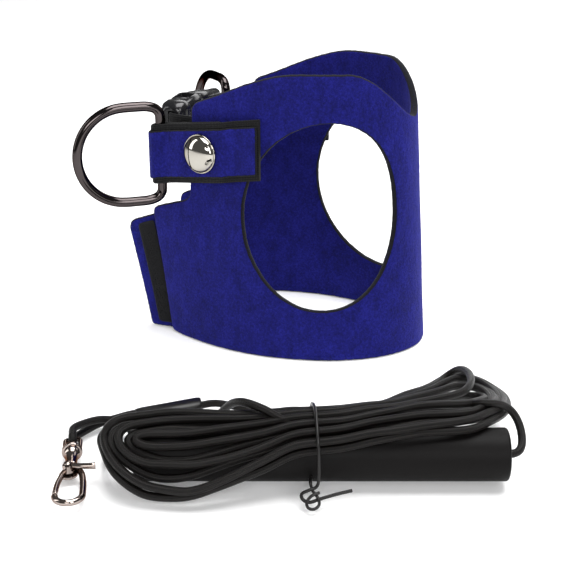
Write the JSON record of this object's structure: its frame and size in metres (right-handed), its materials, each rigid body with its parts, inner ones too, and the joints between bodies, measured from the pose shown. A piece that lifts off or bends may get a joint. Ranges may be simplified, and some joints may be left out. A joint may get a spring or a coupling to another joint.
{
  "type": "pet vest harness with cord lead",
  "caption": "Small-pet suede vest harness with two leg holes, a buckled back strap with D rings, and a round cord lead with a tube grip and a swivel snap hook.",
  "frame": {"origin": "on the vest's waist edge, the flat face that it stands on, in the middle of the chest", "axes": "+X points out of the chest, +Z from the waist to the collar, -Y to the side that the lead lies on"},
  "size_m": [0.1551, 0.188, 0.0915],
  "materials": {
    "suede": "napped suede, deep blue",
    "lining": "napped suede, deep blue",
    "loop": "black loop pile",
    "hook_tape": "black hook tape",
    "webbing": "black woven webbing",
    "gunmetal": "dark polished plating",
    "chrome": "bright polished plating",
    "steel": "plain",
    "gloss_plastic": "moulded, glossy",
    "matte_plastic": "satin",
    "grip": "matte black",
    "ferrule": "shrunk sleeve, semi-gloss",
    "cord": "braided elastic cord",
    "nickel": "polished nickel plating"
  },
  "bodies": {
    "vest": {"vest_shell": "suede", "near_tab_strap": "webbing", "far_tab_strap": "webbing", "near_tab_facing": "suede", "far_tab_facing": "suede", "near_snap_cap": "chrome", "far_snap_cap": "chrome", "near_snap_post": "steel", "far_snap_post": "steel", "near_webbing": "webbing", "far_webbing": "webbing", "buckle_socket": "gloss_plastic"},
    "near_flap": {"near_closing_flap": "lining", "loop_strip": "loop"},
    "far_flap": {"far_closing_flap": "lining", "hook_strip": "hook_tape"},
    "near_ring": {"near_d_ring": "gunmetal"},
    "far_ring": {"far_d_ring": "gunmetal"},
    "buckle_plug": {"buckle_plug": "gloss_plastic"},
    "lead": {"grip_sleeve": "grip", "grip_core": "matte_plastic", "grip_plug_left": "matte_plastic", "grip_plug_right": "matte_plastic", "hook_ferrule": "ferrule", "grip_ferrule": "ferrule", "lead_hank": "cord", "cord_hook_loop": "cord", "cord_to_hank": "cord", "cord_ferrule_to_hank": "cord", "cord_grip_left": "cord", "cord_grip_right": "cord", "twist_tie": "matte_plastic", "swivel_yoke": "nickel"},
    "snap_hook": {"swivel_rivet": "nickel", "hook_body": "nickel", "gate_pin": "nickel"},
    "hook_gate": {"hook_gate": "nickel"}
  },
  "joints": [
    {"name": "near_flap_bend", "type": "hinge", "parent": "vest", "child": "near_flap", "pos_m": [-0.07848, -0.0194, 0], "axis": [0, 0, -1], "range_deg": [0, 35]},
    {"name": "far_flap_bend", "type": "hinge", "parent": "vest", "child": "far_flap", "pos_m": [-0.07848, 0.0194, 0], "axis": [0, 0, 1], "range_deg": [0, 35]},
    {"name": "near_ring_swing", "type": "hinge", "parent": "vest", "child": "near_ring", "pos_m": [-0.08109, -0.02512, 0.06292], "axis": [0, 0, 1], "range_deg": [-35, 95]},
    {"name": "far_ring_swing", "type": "hinge", "parent": "vest", "child": "far_ring", "pos_m": [-0.08109, 0.02512, 0.06292], "axis": [0, 0, -1], "range_deg": [-35, 95]},
    {"name": "buckle_play", "type": "slide", "parent": "vest", "child": "buckle_plug", "axis": [0, 1, 0], "range_m": [0, 0.0012]},
    {"name": "lead_lift", "type": "slide", "parent": "vest", "child": "lead", "axis": [0, 0, 1], "range_m": [0, 0.12]},
    {"name": "hook_swivel", "type": "hinge", "parent": "lead", "child": "snap_hook", "pos_m": [-0.06136, -0.11839, 0.0034], "axis": [-0.4924, 0.8704, 0], "continuous": true},
    {"name": "gate_open", "type": "hinge", "parent": "snap_hook", "child": "hook_gate", "pos_m": [-0.05696, -0.12738, 0.0034], "axis": [0, 0, 1], "range_deg": [0, 22], "stiffness_Nm_per_rad": 0.002}
  ]
}
